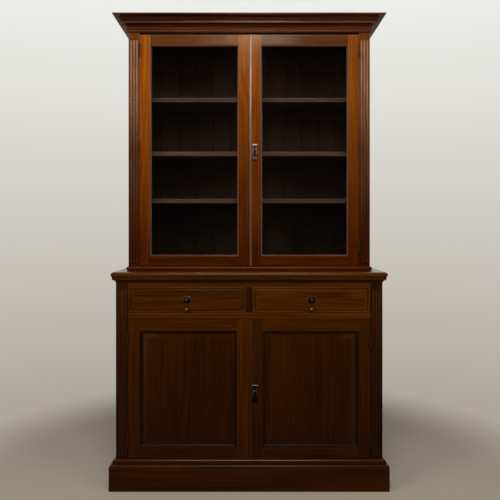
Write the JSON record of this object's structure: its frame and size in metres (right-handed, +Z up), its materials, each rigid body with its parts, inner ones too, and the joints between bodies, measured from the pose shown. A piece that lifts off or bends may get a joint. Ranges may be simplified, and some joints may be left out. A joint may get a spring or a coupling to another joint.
{
  "type": "glazed bookcase on cupboard",
  "caption": "Tall wooden bookcase: glazed doors over adjustable book shelves, standing on a base with drawers over a panelled cupboard, with cornice, fluted pilasters and plinth.",
  "frame": {"origin": "on the floor, in the middle of the plinth's width and of the whole depth", "axes": "+Z up, +X to the right as seen from the front, +Y to the back; the doors face -Y"},
  "size_m": [1.32, 0.465, 2.275],
  "materials": {
    "upper_wood": "polished warm brown",
    "lower_wood": "polished dark brown",
    "inner_wood": "dark stained",
    "drawer_wood": "plain",
    "dark_bronze": "darkened",
    "lock_steel": "dull",
    "pane_glass": "clear"
  },
  "bodies": {
    "case": {"plinth": "lower_wood", "plinth_moulding": "lower_wood", "lower_floor_board": "inner_wood", "lower_back_boards": "inner_wood", "cupboard_shelf": "inner_wood", "drawer_rail": "lower_wood", "frieze_rail": "lower_wood", "drawer_muntin": "lower_wood", "dust_board": "inner_wood", "lower_top": "lower_wood", "lower_left_side": "lower_wood", "lower_right_side": "lower_wood", "lower_left_pilaster": "lower_wood", "lower_right_pilaster": "lower_wood", "lower_left_hinge_top": "dark_bronze", "lower_left_hinge_bottom": "dark_bronze", "lower_right_hinge_top": "dark_bronze", "lower_right_hinge_bottom": "dark_bronze", "upper_base_moulding": "upper_wood", "upper_floor_board": "inner_wood", "upper_top_board": "upper_wood", "upper_back_boards": "inner_wood", "low_shelf": "inner_wood", "middle_shelf": "inner_wood", "high_shelf": "inner_wood", "cornice": "upper_wood", "upper_left_side": "upper_wood", "upper_right_side": "upper_wood", "upper_left_pilaster": "upper_wood", "upper_right_pilaster": "upper_wood", "upper_left_hinge_top": "dark_bronze", "upper_left_hinge_middle": "dark_bronze", "upper_left_hinge_bottom": "dark_bronze", "upper_right_hinge_top": "dark_bronze", "upper_right_hinge_middle": "dark_bronze", "upper_right_hinge_bottom": "dark_bronze"},
    "upper_left_door": {"upper_left_door_frame": "upper_wood", "upper_left_glass": "pane_glass", "upper_left_glazing_beads": "upper_wood"},
    "upper_right_door": {"upper_right_door_frame": "upper_wood", "upper_right_glass": "pane_glass", "upper_right_glazing_beads": "upper_wood", "upper_escutcheon": "dark_bronze", "upper_lock": "lock_steel"},
    "upper_handle": {"upper_door_drop": "dark_bronze"},
    "lower_left_door": {"lower_left_door_frame": "lower_wood", "lower_left_panel": "lower_wood"},
    "lower_right_door": {"lower_right_door_frame": "lower_wood", "lower_right_panel": "lower_wood", "lower_escutcheon": "dark_bronze", "lower_lock": "lock_steel"},
    "lower_handle": {"lower_door_drop": "dark_bronze"},
    "left_drawer": {"left_drawer_front": "lower_wood", "left_drawer_box": "drawer_wood", "left_drawer_rosette": "dark_bronze"},
    "left_drawer_handle": {"left_drawer_drop": "dark_bronze"},
    "right_drawer": {"right_drawer_front": "lower_wood", "right_drawer_box": "drawer_wood", "right_drawer_rosette": "dark_bronze"},
    "right_drawer_handle": {"right_drawer_drop": "dark_bronze"}
  },
  "joints": [
    {"name": "upper_left_door_hinge", "type": "hinge", "parent": "case", "child": "upper_left_door", "pos_m": [-0.53925, -0.104, 1.6215], "axis": [0, 0, -1], "range_deg": [0, 110]},
    {"name": "upper_right_door_hinge", "type": "hinge", "parent": "case", "child": "upper_right_door", "pos_m": [0.53925, -0.104, 1.6215], "axis": [0, 0, 1], "range_deg": [0, 110]},
    {"name": "upper_handle_drop", "type": "hinge", "parent": "upper_right_door", "child": "upper_handle", "pos_m": [0.027, -0.106, 1.625], "axis": [-1, 0, 0], "range_deg": [0, 85]},
    {"name": "lower_left_door_hinge", "type": "hinge", "parent": "case", "child": "lower_left_door", "pos_m": [-0.57425, -0.2085, 0.478], "axis": [0, 0, -1], "range_deg": [0, 110]},
    {"name": "lower_right_door_hinge", "type": "hinge", "parent": "case", "child": "lower_right_door", "pos_m": [0.57425, -0.2085, 0.478], "axis": [0, 0, 1], "range_deg": [0, 110]},
    {"name": "lower_handle_drop", "type": "hinge", "parent": "lower_right_door", "child": "lower_handle", "pos_m": [0.027, -0.2105, 0.468], "axis": [-1, 0, 0], "range_deg": [0, 85]},
    {"name": "left_drawer_slide", "type": "slide", "parent": "case", "child": "left_drawer", "axis": [0, -1, 0], "range_m": [0, 0.33]},
    {"name": "left_drawer_drop_pivot", "type": "hinge", "parent": "left_drawer", "child": "left_drawer_handle", "pos_m": [-0.2955, -0.2155, 0.899], "axis": [-1, 0, 0], "range_deg": [0, 85]},
    {"name": "right_drawer_slide", "type": "slide", "parent": "case", "child": "right_drawer", "axis": [0, -1, 0], "range_m": [0, 0.33]},
    {"name": "right_drawer_drop_pivot", "type": "hinge", "parent": "right_drawer", "child": "right_drawer_handle", "pos_m": [0.2955, -0.2155, 0.899], "axis": [-1, 0, 0], "range_deg": [0, 85]}
  ]
}
